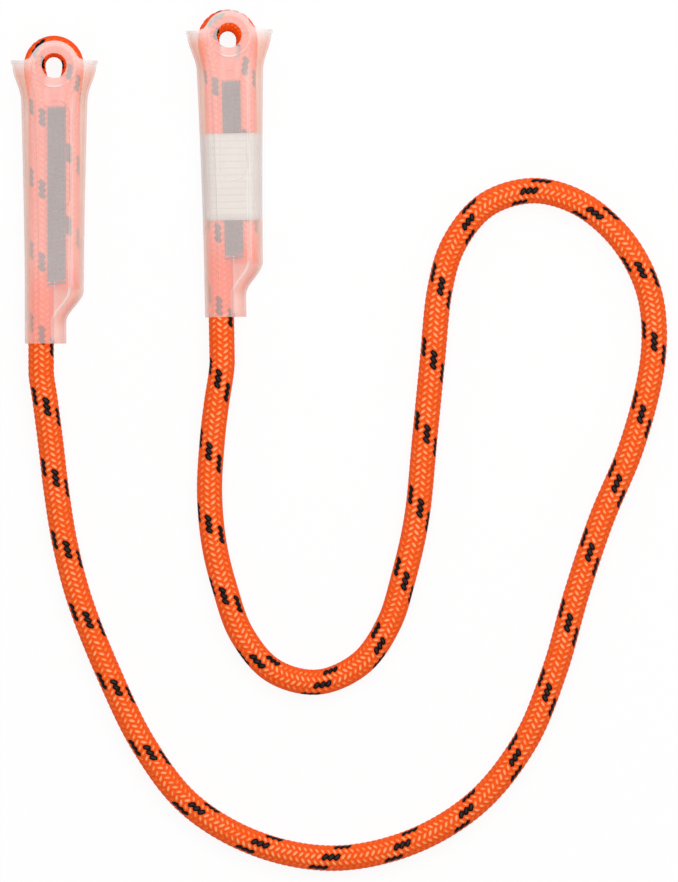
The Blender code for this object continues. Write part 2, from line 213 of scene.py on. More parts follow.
def wrap(flat, line, swell, roll):
    """Lays flat places (along, round, out) on a rope that follows line. Along the line, swell
    scales its thickness and roll turns it, in degrees."""
    reach = reach_along(line)
    run = np.gradient(line, axis=0)
    run /= np.linalg.norm(run, axis=1)[:, None]
    side = np.column_stack([-run[:, 1], run[:, 0], np.zeros(len(run))])
    side /= np.linalg.norm(side, axis=1)[:, None]
    up = np.cross(run, side)
    inside = np.clip(flat[:, 0], 0, reach[-1])

    def at(rows):
        return np.column_stack([np.interp(inside, reach, column) for column in rows.T])

    out = ROPE_DIAMETER / 2 * np.interp(inside, reach, swell) + flat[:, 2]
    turn = flat[:, 1] / (ROPE_DIAMETER / 2) + np.radians(np.interp(inside, reach, roll))
    arm = np.cos(turn)[:, None] * at(up) + np.sin(turn)[:, None] * at(side)
    past_end = (flat[:, 0] - inside)[:, None] * at(run)
    return at(line) + past_end + out[:, None] * arm


def one_float(form, lean, along, around):
    """One visible stitch of the braid: a yarn that rises over two others and dives under the next."""
    made = bmesh.ops.create_grid(
        form, x_segments=FLOAT_FACES, y_segments=FLOAT_FACES, size=0.5, calc_uvs=True
    )
    for vert in made["verts"]:
        from_middle = abs(vert.co.x) * 2
        across = vert.co.y * 2
        rise = FLOAT_THICKNESS * math.sqrt(max(1 - across**4, 0))
        dip = FLOAT_DIP * ease((from_middle - FLOAT_LEVEL_SHARE) / (1 - FLOAT_LEVEL_SHARE))
        vert.co.z = rise - FLOAT_THICKNESS - dip
        vert.co.y *= 1 - FLOAT_POINT * from_middle**2
    bmesh.ops.scale(form, verts=made["verts"], vec=(FLOAT_LENGTH, FLOAT_WIDTH, 1))
    turned = Matrix.Rotation(lean * FLOAT_ANGLE, 3, "Z")
    bmesh.ops.rotate(form, verts=made["verts"], cent=(0, 0, 0), matrix=turned)
    bmesh.ops.translate(form, verts=made["verts"], vec=(along, around, 0))


def repeat(piece, count, step, grain):
    """Repeats a flat piece in a row, each copy with its own stretch of grain."""
    row = piece.modifiers.new("row", "ARRAY")
    row.count = count
    row.use_relative_offset = False
    row.use_constant_offset = True
    row.constant_offset_displace = step
    row.offset_u, row.offset_v = grain


def coordinates(mesh):
    """The places of a mesh's vertices, one row each."""
    places = np.zeros(len(mesh.vertices) * 3)
    mesh.vertices.foreach_get("co", places)
    return places.reshape(-1, 3)


def set_down(thing):
    """Puts an object in the scene."""
    bpy.context.scene.collection.objects.link(thing)
    return thing


def as_modelled(thing):
    """A new mesh of an object with its modifiers or its curve worked out."""
    return bpy.data.meshes.new_from_object(thing.evaluated_get(bpy.context.evaluated_depsgraph_get()))


def as_mesh(name, form):
    """Writes a form to a new mesh and lets the form go."""
    mesh = bpy.data.meshes.new(name)
    form.to_mesh(mesh)
    form.free()
    return mesh


def underlay(line, swell):
    """The closed layer of yarns that shows dark between the floats."""
    length = reach_along(line)[-1]
    form = bmesh.new()
    form.loops.layers.uv.new("yarn")
    rows = round(length / CELL_ALONG)
    bmesh.ops.create_grid(form, x_segments=rows, y_segments=UNDERLAY_SIDES, size=0.5)
    bmesh.ops.scale(form, verts=form.verts, vec=(length, math.pi * ROPE_DIAMETER, 1))
    bmesh.ops.translate(form, verts=form.verts, vec=(length / 2, 0, -UNDERLAY_DEPTH))
    tube = as_mesh("underlay", form)
    tube.vertices.foreach_set("co", wrap(coordinates(tube), line, swell, np.zeros(len(line))).ravel())
    form = bmesh.new()
    form.from_mesh(tube)
    bmesh.ops.remove_doubles(form, verts=form.verts, dist=ROPE_DIAMETER / 1000)
    bmesh.ops.holes_fill(form, edges=form.edges, sides=UNDERLAY_SIDES)
    bmesh.ops.recalc_face_normals(form, faces=form.faces)
    bpy.data.meshes.remove(tube)
    return form


def braid(name, line, swell, first_mark, drift, roll):
    """The mantle along a line. A tracer mark faces up where the line has run first_mark. Drift and
    roll say how far the yarns lie along and round from an even braid at each place of the line."""
    reach = reach_along(line)
    rows = round(reach[-1] / CELL_ALONG)
    form = bmesh.new()
    form.loops.layers.uv.new("yarn")
    one_float(form, 1, 0, 0)
    one_float(form, -1, CELL_ALONG / 2, CELL_ROUND / 2)
    cell_faces = len(form.faces)
    cell = set_down(bpy.data.objects.new(name, as_mesh(name, form)))
    wales = YARNS_EACH_WAY // 2
    repeat(cell, wales, (0, CELL_ROUND, 0), (0, 1))
    repeat(cell, rows, (CELL_ALONG, 0, 0), (1, 0))
    woven = as_modelled(cell)
    bpy.data.objects.remove(cell)

    flat = coordinates(woven)
    start = (first_mark - CELL_ALONG) % CELL_ALONG
    flat[:, 0] += start
    flat[:, 0] += np.interp(flat[:, 0], reach, drift)

    face = np.arange(len(woven.polygons))
    row = face // (cell_faces * wales)
    wale = face // cell_faces % wales
    leans_right = face % cell_faces < cell_faces // 2
    mark_row = round((first_mark - start) / CELL_ALONG)
    yarn = (row - mark_row + TRACER_YARNS // 2 - 2 * wale) % YARNS_EACH_WAY
    tracer = leans_right & (yarn < TRACER_YARNS)
    woven.vertices.foreach_set("co", wrap(flat, line, swell, roll).ravel())
    woven.polygons.foreach_set("material_index", tracer.astype(np.int32))

    form = underlay(line, swell)
    form.from_mesh(woven)
    form.to_mesh(woven)
    form.free()
    return woven


def new_finish(name, roughness):
    """A new material and its shader."""
    material = bpy.data.materials.new(name)
    material.use_nodes = True
    shader = material.node_tree.nodes["Principled BSDF"]
    shader.inputs["Roughness"].default_value = roughness
    return material, shader


def feed(node, inputs):
    """Gives each of a node's inputs a value, one output of another node, or a whole node, which
    stands for its first output."""
    for socket, value in inputs.items():
        if isinstance(value, bpy.types.Node):
            value = value.outputs[0]
        if isinstance(value, bpy.types.NodeSocket):
            node.id_data.links.new(value, node.inputs[socket])
        else:
            node.inputs[socket].default_value = value


def add_node(material, kind, inputs=None, **settings):
    """Adds a node to a material, with its settings and its inputs."""
    node = material.node_tree.nodes.new(f"ShaderNode{kind}")
    for setting, value in settings.items():
        setattr(node, setting, value)
    feed(node, inputs or {})
    return node


def add_math(material, operation, *values):
    """Adds a sum on one, two or three values."""
    return add_node(material, "Math", dict(enumerate(values)), operation=operation)


def add_scaling(material, value, low, high, reach=(0, 1), **settings):
    """Adds a node that turns a value between low and high into one within reach."""
    limits = {"From Min": low, "From Max": high, "To Min": reach[0], "To Max": reach[1]}
    return add_node(material, "MapRange", {"Value": value, **limits}, **settings)


def add_ramp(material, value, stops, shades):
    """Adds a ramp that turns a value into two or more shades, each at its own stop."""
    ramp = add_node(material, "ValToRGB", {"Fac": value})
    elements = ramp.color_ramp.elements
    elements[0].position = stops[0]
    elements[1].position = stops[-1]
    for stop in stops[1:-1]:
        elements.new(stop)
    for element, shade in zip(elements, shades):
        element.color = (*shade, 1)
    return ramp


def add_relief(material, height, strength):
    """Adds a fine relief, too small to be modelled."""
    return add_node(material, "Bump", {"Strength": strength, "Distance": RELIEF_HEIGHT, "Height": height})


def yarn_finish(name, shades, roughness):
    """Dyed polyamide yarn with fine filaments running along it. Each float's crown is a painted
    highlight, stronger where the yarn faces up, as if lit from above, and its ends are painted
    deeper as shade where it dives. How strong the painted highlight is differs at random from
    float to float. Its shades go from the painted shade at the ends to the painted highlight."""
    material, shader = new_finish(name, roughness)
    uv = add_node(material, "UVMap", uv_map="yarn")
    along_yarn = add_node(material, "Mapping", {"Vector": uv, "Scale": FILAMENT_GRAIN})
    grain = {"Vector": along_yarn, "Scale": 1, "Detail": FILAMENT_DETAIL}
    filaments = add_node(material, "TexNoise", grain)
    # The crown: a painted highlight in the middle of each float; away from it the float's ends take the
    # painted shade.
    on_float = add_node(material, "VectorMath", {0: uv}, operation="FRACTION")
    on_crown = add_node(material, "Mapping", {"Vector": on_float, "Scale": (*CROWN_SHAPE, 1)})
    ends = {0: on_crown, 1: (CROWN_SHAPE[0] / 2, CROWN_SHAPE[1] / 2, 0)}
    from_middle = add_node(material, "VectorMath", ends, operation="DISTANCE")
    crown = add_scaling(material, from_middle.outputs["Value"], *CROWN_FADE)
    which_float = add_node(material, "VectorMath", {0: uv}, operation="FLOOR")
    float_chance = add_node(material, "TexWhiteNoise", {"Vector": which_float})
    uneven_crown = add_math(material, "MULTIPLY", crown, add_scaling(material, float_chance, 0, 1, CROWN_UNEVEN))
    # Painted top light: the crown's highlight is stronger where the yarn faces up.
    facing = add_node(material, "SeparateXYZ", {"Vector": add_node(material, "TexCoord").outputs["Normal"]})
    upright = add_math(material, "ABSOLUTE", facing.outputs["Z"])
    top_light = add_scaling(material, upright, *CROWN_FACING, CROWN_TOP_LIGHT)
    top_lit_crown = add_math(material, "MULTIPLY", uneven_crown, top_light)
    lively = add_math(material, "MULTIPLY_ADD", filaments, FILAMENT_SHARE, top_lit_crown)
    feed(shader, {
        "Base Color": add_ramp(material, lively, SHADE_STOPS, shades),
        "Normal": add_relief(material, filaments, FILAMENT_RELIEF),
        "Specular IOR Level": YARN_SHINE,
        "Sheen Weight": YARN_SHEEN,
        "Sheen Roughness": YARN_SHEEN_ROUGHNESS,
        "Sheen Tint": (*shades[1], 1),
    })
    return material


orange_yarn = yarn_finish("orange_yarn", ORANGE_SHADES, ORANGE_ROUGHNESS)
tracer_yarn = yarn_finish("tracer_yarn", TRACER_SHADES, TRACER_ROUGHNESS)


def dress_rope(name, mesh, yarn, *nodes):
    """Puts a stretch of mantle in the place of its CAD solids."""
    rope = set_down(bpy.data.objects.new(name, mesh))
    mesh.materials.append(yarn)
    mesh.materials.append(tracer_yarn)
    mesh.shade_smooth()
    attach(rope, "rope")
    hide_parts(*nodes)
    return rope


line = free_line()
line_reach = reach_along(line)
free_mesh = braid(
    "free_rope",
    line,
    np.ones(len(line)),
    FIRST_MARK,
    np.interp(line_reach, DRIFT_AT, DRIFT),
    np.interp(line_reach, ROLL_AT, ROLL),
)
free_strands = [f"core_free_{strand}" for strand in range(CORE_STRANDS)]
free_rope = dress_rope("free_rope", free_mesh, orange_yarn, "mantle_free", *free_strands)

# Sewn eyes
# At each end the same rope turns back beside itself round a small eye, where the sleeve presses
# it a little thinner. The cut tail stops short of the neck and is sealed with heat.
EYE_OPENING = 0.00345
EYE_SQUEEZE = 0.855
EYE_BEND = EYE_OPENING + EYE_SQUEEZE * ROPE_DIAMETER / 2
EYE_CLOSES_BELOW = 0.017
EYE_B_DROP = 0.0019
TAIL_END = 0.0955
RUN_PLACES = 60
BEND_PLACES = 32
SEAL_SPREAD = 0.96
SEAL_SINK = 0.0009
SEAL_DEPTH = 0.0011
SEAL_FACES = (24, 12)

EYE_A_DRIFT_AT = (0, 0.077, 0.115, 0.152, 0.242)
EYE_A_DRIFT = (0.0079, 0.0079, 0.0019, 0, 0)
EYE_A_ROLL_AT = (0, 0.062, 0.089, 0.112, 0.119, 0.127, 0.142, 0.162, 0.242)
EYE_A_ROLL = (-5, -5, -42, -46, -10, 0, 6, 5, 4)
EYE_A_LEAN = -0.0002
EYE_B_DRIFT_AT = (0, 0.06, 0.097, 0.122, 0.15, 0.24)
EYE_B_DRIFT = (0, 0, 0.0006, -0.0015, -0.0043, -0.0042)
EYE_B_ROLL_AT = (0, 0.1, 0.117, 0.13, 0.15, 0.24)
EYE_B_ROLL = (10, 8, 18, 38, 5, 0)
EYE_B_LEAN = -0.0007

# The rope of the eyes lies in the sleeves' shade: its shades are a redder orange with weaker crowns, a
# painted shade on a copy of the free rope's yarn.
SHADED_EYE_SHADES = ((0.95, 0.07, 0.003), (1.0, 0.12, 0.008), (1.0, 0.2, 0.03))
MELT_SHADES = ((0.25, 0.02, 0.004), (0.85, 0.1, 0.01))
MELT_STOPS = (0.4, 0.62)
MELT_SCALE = 900
MELT_ROUGHNESS = 0.35

shaded_yarn = yarn_finish("shaded_yarn", SHADED_EYE_SHADES, ORANGE_ROUGHNESS)

melted_yarn, melt_shader = new_finish("melted_yarn", MELT_ROUGHNESS)
melt_place = add_node(melted_yarn, "TexCoord").outputs["Object"]
melt_blobs = add_node(melted_yarn, "TexNoise", {"Vector": melt_place, "Scale": MELT_SCALE})
feed(melt_shader, {"Base Color": add_ramp(melted_yarn, melt_blobs, MELT_STOPS, MELT_SHADES)})


def placed(end, places):
    """Moves an end's own places to where that end lies."""
    move = np.array(end)
    return places @ move[:3, :3].T + move[:3, 3]


def eye_line(end, drop, lean):
    """The middle of the rope from the neck's foot round the eye to the tail, with its swell. The
    eye itself leans a little to one side."""

    def run(side, far):
        below = np.concatenate([
            np.linspace(far, EYE_CLOSES_BELOW, RUN_PLACES),
            np.linspace(EYE_CLOSES_BELOW, 0, RUN_PLACES // 3)[1:],
        ])
        closed = ease(below / EYE_CLOSES_BELOW)
        across = side * (EYE_BEND + (RUN_OFFSET - EYE_BEND) * closed) + lean * (1 - closed)
        places = np.column_stack([across, -below - drop, np.zeros(len(below))])
        return places, EYE_SQUEEZE + (1 - EYE_SQUEEZE) * closed

    standing, standing_swell = run(-1, NECK_FOOT - drop)
    tail, tail_swell = run(1, TAIL_END)
    turn = np.linspace(math.pi, 0, BEND_PLACES)[1:-1]
    bend = np.column_stack([np.cos(turn), np.sin(turn), np.zeros(len(turn))]) * EYE_BEND
    bend += (lean, -drop, 0)
    places = np.concatenate([standing, bend, tail[::-1]])
    swell = np.concatenate([standing_swell, np.full(len(bend), EYE_SQUEEZE), tail_swell[::-1]])
    return placed(end, places), swell


def sealed_tail(name, end, drop):
    """The melted face of the cut tail."""
    radius = ROPE_DIAMETER / 2
    around, along = SEAL_FACES
    form = bmesh.new()
    bmesh.ops.create_uvsphere(form, u_segments=around, v_segments=along, radius=radius)
    bmesh.ops.rotate(form, verts=form.verts, cent=(0, 0, 0), matrix=Matrix.Rotation(math.pi / 2, 3, "X"))
    bmesh.ops.scale(form, verts=form.verts, vec=(SEAL_SPREAD, SEAL_DEPTH / radius, SEAL_SPREAD))
    bmesh.ops.translate(form, verts=form.verts, vec=(RUN_OFFSET, -TAIL_END - drop + SEAL_SINK, 0))
    bmesh.ops.transform(form, matrix=end, verts=form.verts)
    mesh = as_mesh(name, form)
    mesh.shade_smooth()
    mesh.materials.append(melted_yarn)
    seal = set_down(bpy.data.objects.new(name, mesh))
    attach(seal, "rope")


line_a, swell_a = eye_line(END_A, 0, EYE_A_LEAN)
line_a = line_a[::-1]
swell_a = swell_a[::-1]
first_a = (reach_along(line_a)[-1] + FOOT_GAP + FIRST_MARK + DRIFT[0]) % BRAID_PITCH
line_b, swell_b = eye_line(END_B, EYE_B_DROP, EYE_B_LEAN)
first_b = (FIRST_MARK + DRIFT[-1] - line_reach[-1] - FOOT_GAP) % BRAID_PITCH
for label, eye_places, eye_swell, first_mark, drift, roll in (
    ("a", line_a, swell_a, first_a, (EYE_A_DRIFT_AT, EYE_A_DRIFT), (EYE_A_ROLL_AT, EYE_A_ROLL)),
    ("b", line_b, swell_b, first_b, (EYE_B_DRIFT_AT, EYE_B_DRIFT), (EYE_B_ROLL_AT, EYE_B_ROLL)),
):
    eye_reach = reach_along(eye_places)
    eye_drift = np.interp(eye_reach, *drift)
    eye_roll = np.interp(eye_reach, *roll)
    eye_mesh = braid(f"eye_{label}", eye_places, eye_swell, first_mark, eye_drift, eye_roll)
    strands = [f"core_eye_{label}_{strand}" for strand in range(CORE_STRANDS)]
    # The eyes take the yarn copy with the painted shade.
    dress_rope(f"eye_{label}", eye_mesh, shaded_yarn, f"mantle_eye_{label}", *strands)
sealed_tail("sealed_tail_a", END_A, 0)
sealed_tail("sealed_tail_b", END_B, EYE_B_DROP)

# Stitching
# Black bonded thread sews the two runs together, on the front and on the back. A close zigzag
# crosses from one run to the other, and straight rows are sewn over it along the rope.
STITCH_TOP = 0.0175
STITCH_LENGTH = 0.0757
STITCH_WIDTH = 0.0084
STITCH_SHIFT_A = 0.0011
STITCH_SHIFT_B = 0.0004
ZIGZAG_THREAD = 0.00052
ZIGZAG_STEP = 0.00098
ZIGZAG_HEIGHT = 0.0059
ZIGZAG_SINK = 0.0007
ZIGZAG_STOPS = ((-1, 1), (-0.92, 0), (0.92, 0), (1, 1))
ROW_THREAD = 0.00048
ROW_COUNT = 13
ROW_INSET = 0.0006
ROW_HEIGHT = 0.00615
ROW_SINK = 0.00055
ROW_STITCH = 0.00263
ROW_STAGGER = 0.0009
ROW_STOPS = ((0, 1), (0.14, 0.15), (0.5, 0), (0.86, 0.15))
# The thread's paler shade is a painted highlight where light catches the tops of its plies, in streaks
# along the rows that differ at random.
THREAD_SHADES = ((0.006, 0.006, 0.007), (0.12, 0.115, 0.115))
THREAD_STOPS = (0.1, 0.6)
THREAD_ROUGHNESS = 0.45
THREAD_TWIST = 900
THREAD_TWIST_WANDER = 1.5
THREAD_HIGHLIGHT_STREAKS = (1300, 90, 1)
THREAD_RELIEF = 0.6

black_thread, thread_shader = new_finish("black_thread", THREAD_ROUGHNESS)
thread_place = add_node(black_thread, "TexCoord").outputs["Object"]
thread_plies = {"Vector": thread_place, "Scale": THREAD_TWIST, "Distortion": THREAD_TWIST_WANDER}
thread_twist = add_node(black_thread, "TexWave", thread_plies, bands_direction="DIAGONAL").outputs["Fac"]
# Painted highlight in streaks along the rows, differing at random.
thread_streak_place = add_node(black_thread, "Mapping", {"Vector": thread_place, "Scale": THREAD_HIGHLIGHT_STREAKS})
thread_streaks = add_node(black_thread, "TexNoise", {"Vector": thread_streak_place, "Scale": 1})
thread_plies_and_highlight = add_math(black_thread, "MULTIPLY", thread_twist, thread_streaks)
feed(thread_shader, {
    "Base Color": add_ramp(black_thread, thread_plies_and_highlight, THREAD_STOPS, THREAD_SHADES),
    "Normal": add_relief(black_thread, thread_twist, THREAD_RELIEF),
})


def zigzag_places(face, drop):
    """The crossing thread: it dives into each run at its turns."""
    half = (STITCH_WIDTH - ZIGZAG_THREAD) / 2
    places = []
    for crossing in range(round(STITCH_LENGTH / ZIGZAG_STEP)):
        down = -STITCH_TOP - drop - ZIGZAG_THREAD / 2 - crossing * ZIGZAG_STEP
        side = 1 if crossing % 2 else -1
        for share, sink in ZIGZAG_STOPS:
            slant = ZIGZAG_STEP * (share + 1) / 2
            across = side * share * half
            places.append((across, down - slant, face * (ZIGZAG_HEIGHT - sink * ZIGZAG_SINK)))
    return places


def row_places(face, drop, row):
    """One straight row of stitches along the rope."""
    across = (STITCH_WIDTH / 2 - ROW_INSET) * (2 * row / (ROW_COUNT - 1) - 1)
    start = STITCH_TOP + ROW_STAGGER * (row % 3) / 2
    count = int((STITCH_LENGTH - ROW_STAGGER) / ROW_STITCH)
    places = []
    for stitch in range(count):
        for share, sink in ROW_STOPS:
            down = -start - drop - (stitch + share) * ROW_STITCH
            places.append((across, down, face * (ROW_HEIGHT - sink * ROW_SINK)))
    return places


def stitching(node, end, drop, face):
    """All the thread on one face of an end."""
    curve = bpy.data.curves.new(node, "CURVE")
    curve.dimensions = "3D"
    curve.bevel_depth = 1
    curve.bevel_resolution = 1
    curve.use_fill_caps = True
    threads = [(zigzag_places(face, drop), ZIGZAG_THREAD)]
    for row in range(ROW_COUNT):
        threads.append((row_places(face, drop, row), ROW_THREAD))
    for places, thickness in threads:
        spline = curve.splines.new("POLY")
        spline.points.add(len(places) - 1)
        for point, place in zip(spline.points, placed(end, np.array(places))):
            point.co = (*place, 1)
            point.radius = thickness / 2
    sewn = set_down(bpy.data.objects.new(node, curve))
    mesh = as_modelled(sewn)
    bpy.data.objects.remove(sewn)
    mesh.materials.clear()
    mesh.materials.append(black_thread)
    mesh.shade_smooth()
    thread = set_down(bpy.data.objects.new(node.replace("stitching", "thread"), mesh))
    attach(thread, "rope")
    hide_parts(node)


sewn_a = END_A @ Matrix.Translation((STITCH_SHIFT_A, 0, 0))
sewn_b = END_B @ Matrix.Translation((STITCH_SHIFT_B, 0, 0))
for label, sewn_end, drop in (("a", sewn_a, 0), ("b", sewn_b, EYE_B_DROP)):
    stitching(f"stitching_front_{label}", sewn_end, drop, 1)
    stitching(f"stitching_back_{label}", sewn_end, drop, -1)

# Label
# A band of thin cream film is wrapped round both runs of end B, with one end of it lapped over
# the other on the back, before the sleeve goes on. It has faint ruled lines and no words.
LABEL_TOP = 0.0418
LABEL_LENGTH = 0.0369
LABEL_HALF_WIDTH = 0.0115
LABEL_HALF_DEPTH = 0.0066
LABEL_CORNER = 0.0052
LABEL_CORNER_STEPS = 10
LABEL_FILM = 0.00012
LABEL_LAP_FROM = 0.002
LABEL_LAP_TO = -0.003
LABEL_LAP_RISE = 0.00016
LABEL_ROWS = 12
FILM_SHADES = ((0.59, 0.58, 0.51), (0.68, 0.67, 0.6))
FILM_STOPS = (0.03, 0.14)
FILM_ROUGHNESS = 0.4
RULE_SCALE = 110
RULE_WANDER = 0.4


def straight(form, start, place):
    """Carries an outline on to a place."""
    last = bmesh.ops.extrude_vert_indiv(form, verts=[start])["verts"][0]
    last.co = (*place, 0)
    return last


def arc(form, start, middle, turn, steps):
    """Carries an outline on round a middle."""
    spun = bmesh.ops.spin(
        form, geom=[start], cent=(*middle, 0), axis=(0, 0, 1), angle=turn, steps=steps, use_merge=False
    )
    return [item for item in spun["geom_last"] if isinstance(item, bmesh.types.BMVert)][0]


label_form = bmesh.new()
flat_across = LABEL_HALF_WIDTH - LABEL_CORNER
flat_up = LABEL_HALF_DEPTH - LABEL_CORNER
quarter_turn = math.pi / 2
place = label_form.verts.new((LABEL_LAP_FROM, -LABEL_HALF_DEPTH, 0))
place = straight(label_form, place, (flat_across, -LABEL_HALF_DEPTH))
place = arc(label_form, place, (flat_across, -flat_up), quarter_turn, LABEL_CORNER_STEPS)
place = straight(label_form, place, (LABEL_HALF_WIDTH, flat_up))
place = arc(label_form, place, (flat_across, flat_up), quarter_turn, LABEL_CORNER_STEPS)
place = straight(label_form, place, (-flat_across, LABEL_HALF_DEPTH))
place = arc(label_form, place, (-flat_across, flat_up), quarter_turn, LABEL_CORNER_STEPS)
place = straight(label_form, place, (-LABEL_HALF_WIDTH, -flat_up))
place = arc(label_form, place, (-flat_across, -flat_up), quarter_turn, LABEL_CORNER_STEPS)
place = straight(label_form, place, (LABEL_LAP_TO, -LABEL_HALF_DEPTH))
place = straight(label_form, place, (LABEL_LAP_FROM, -LABEL_HALF_DEPTH - LABEL_LAP_RISE))
straight(label_form, place, (flat_across / 2 + LABEL_LAP_FROM, -LABEL_HALF_DEPTH - LABEL_LAP_RISE))
bmesh.ops.rotate(
    label_form, verts=label_form.verts, cent=(0, 0, 0), matrix=Matrix.Rotation(quarter_turn, 3, "X")
)
bmesh.ops.translate(label_form, verts=label_form.verts, vec=(0, -LABEL_TOP, 0))
label_edge = label_form.edges[:]
for _ in range(LABEL_ROWS):
    label_row = bmesh.ops.extrude_edge_only(label_form, edges=label_edge)["geom"]
    label_low = [item for item in label_row if isinstance(item, bmesh.types.BMVert)]
    label_edge = [item for item in label_row if isinstance(item, bmesh.types.BMEdge)]
    bmesh.ops.translate(label_form, verts=label_low, vec=(0, -LABEL_LENGTH / LABEL_ROWS, 0))
bmesh.ops.recalc_face_normals(label_form, faces=label_form.faces)
bmesh.ops.transform(label_form, matrix=END_B, verts=label_form.verts)
label_mesh = as_mesh("label", label_form)
label_mesh.shade_smooth()
film = set_down(bpy.data.objects.new("label", label_mesh))
film_wall = film.modifiers.new("film", "SOLIDIFY")
film_wall.thickness = LABEL_FILM
film_wall.offset = 1
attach(film, "rope")
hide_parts("label_b")

cream_film, film_shader = new_finish("cream_film", FILM_ROUGHNESS)
film_place = add_node(cream_film, "TexCoord").outputs["Object"]
film_turn = add_node(cream_film, "Mapping", {"Vector": film_place, "Rotation": (0, 0, -END_B_TILT)})
film_rules = {"Vector": film_turn, "Scale": RULE_SCALE, "Distortion": RULE_WANDER}
film_lines = add_node(cream_film, "TexWave", film_rules, bands_direction="Y").outputs["Fac"]
feed(film_shader, {"Base Color": add_ramp(cream_film, film_lines, FILM_STOPS, FILM_SHADES)})
label_mesh.materials.append(cream_film)

# Sleeves
# Each end is covered by a soft moulded sleeve, a milky translucent skin just under a millimetre
# thick. It is stretched over the sewn eye and grips the rope at its neck. Its mouth has a bead
# round two ears and two round lobes, and a thickened ring in each lobe lines up with the eye.
WALL = 0.0009
HALF_DEPTH = 0.008
LOBE_DEPTH = 0.0075
RIDGE_RISE = 0.0003
RIDGE_WIDTH = 0.0016
RIDGE_REACH = 0.0095
RIDGE_CLEAR = 1.2
CORNER = 0.005
MOUTH_CORNER = 0.0064
CORNER_STEPS = 12
EAR_HALF_WIDTH = EYE_BEND + EYE_SQUEEZE * ROPE_DIAMETER / 2 + 0.00565
FOOT_HALF_WIDTH = 0.0125
SHOULDER_EXTRA = 0.0016
SHOULDER_CURVE = 1.5
SHOULDER_BELOW = 0.015
BODY_START = 0.0008
BODY_RINGS = 50
STEP_START = 0.0957
STEP_HEIGHT = 0.0133
STEP_RINGS = 14
NECK_RIGHT = 0.0051
NECK_STOPS = (0.33, 0.67, 1)
STRETCH_FROM = 0.075
STRETCH_B = 0.0016
RIM_RISE = 0.0022
LIP_HEIGHT = 0.0018
LIP_SIDE_RISE = 0.0006
LIP_FACE_RISE = 0.0001
LIP_STOPS = (
    (0.0027, 0),
    (0.0023, 0.6),
    (0.0018, 0.93),
    (0.0013, 1),
    (0.0008, 0.85),
    (0.0004, 0.3),
    (0.0002, 0),
)
RECESS_FROM = 0.0105
RECESS_TO = 0.0135
LOBE_RADIUS = 0.01055
LOBE_STEPS = 40
LOBE_FILLET = 0.0052
FILLET_STEPS = 8
RING_RADIUS = 0.0089
RING_TOP = 0.00775
RING_STEPS = 64
HOLE_RADIUS = 0.0053
BAND_MIDDLE = 0.009
BAND_RADIUS = 0.0007
BAND_HEIGHT = 0.00721
BAND_SIDES = 12
WINDOW_TOP = 0.0148
WINDOW_LENGTH = 0.0472
WINDOW_WIDTH = 0.0116
WINDOW_SHIFT = 0.0007
WINDOW_DEPTH = 0.00035
WINDOW_SLOPE = 0.00035
WINDOW_STEPS = 24
SOFT_EDGE = 0.00018
SOFT_EDGE_STEPS = 2
SHARPEST_KEPT = math.radians(40)

# The skin's pink and peach tones are milky plastic with the rope's orange light painted in: a painted glow,
# faint over the rope and strongest at the sides, at the ears, towards the neck, past the tail and in the
# gap under each hole, and left out over the thread and the label.
SKIN_OVER_ROPE = (1.0, 0.8, 0.76)
SKIN_OVER_THREAD = (0.9, 0.77, 0.745)
SKIN_AT_NECK = (0.98, 0.58, 0.53)
SKIN_AT_SIDES = (1.0, 0.68, 0.56)
SKIN_AT_EARS = (1.0, 0.55, 0.42)
SKIN_PAST_TAIL = (0.96, 0.45, 0.37)
SKIN_AT_NECK_FOOT = (1.0, 0.6, 0.52)
SKIN_IN_GAP = (1.0, 0.47, 0.41)
# Pale tone for the painted highlights along the ridges and beside the right ridge, and for the lobes
# outside their rings.
SKIN_HIGHLIGHT_AND_LOBE_TONE = (1.0, 0.95, 0.92)
# Painted shade along the right edge of each window: plain on end A, faint on end B.
WINDOW_EDGE_SHADOW_A = (0.7, 0.56, 0.53)
WINDOW_EDGE_SHADOW_B = (0.95, 0.74, 0.7)
SIDE_GLOW = (0.0085, 0.0118)
EAR_GLOW = (0.022, 0.008)
NECK_FOOT_GLOW = (0.107, 0.113)
NECK_GLOW = (0.08, 0.1)
GAP_GLOW = (0.006, 0.001)
LOBE_GLOW = (0.0076, 0.0088)
LOBE_GLOW_FROM = (-0.005, 0.003)
PAST_TAIL_FADE = (0.0035, -0.0005)
PAST_TAIL_SIDE = (-0.0015, 0.0015)
WINDOW_LINE = (0.0004, 0.0001)
WINDOW_LINE_FROM = (0.001, 0.004)
PATCH_BLUR = 0.001
SKIN_DENSITY = 0.28
THICK_DENSITY = 0.36
EDGE_DENSITY = 0.42
PAST_TAIL_DENSITY = 0.5
GAP_DENSITY = 0.6
EDGE_FACING = 0.75
# The ridges and the strip beside the right ridge carry a painted highlight, full on the right and weak on
# the left.
CREST_FADE = (0.0077, 0.00786)
CREST_LIT_SIDE = (-0.005, -0.003)
CREST_SHARE = (0.15, 1)
STRIP_LEFT = (0.0056, 0.0072)
STRIP_RIGHT = (0.0083, 0.0078)
STRIP_TOP = (0.012, 0.018)
STRIP_SHARE = 0.6
CLOUD_SCALE = 90
CLOUD_DETAIL = 4
CLOUD_REACH = (0.25, 0.75)
CLOUD_SHADE = (0.94, 1)
GRAIN_SCALE = 1500
GRAIN_RELIEF = 0.04
SKIN_ROUGHNESS = 0.35
SHADE_LET_THROUGH = 0.85


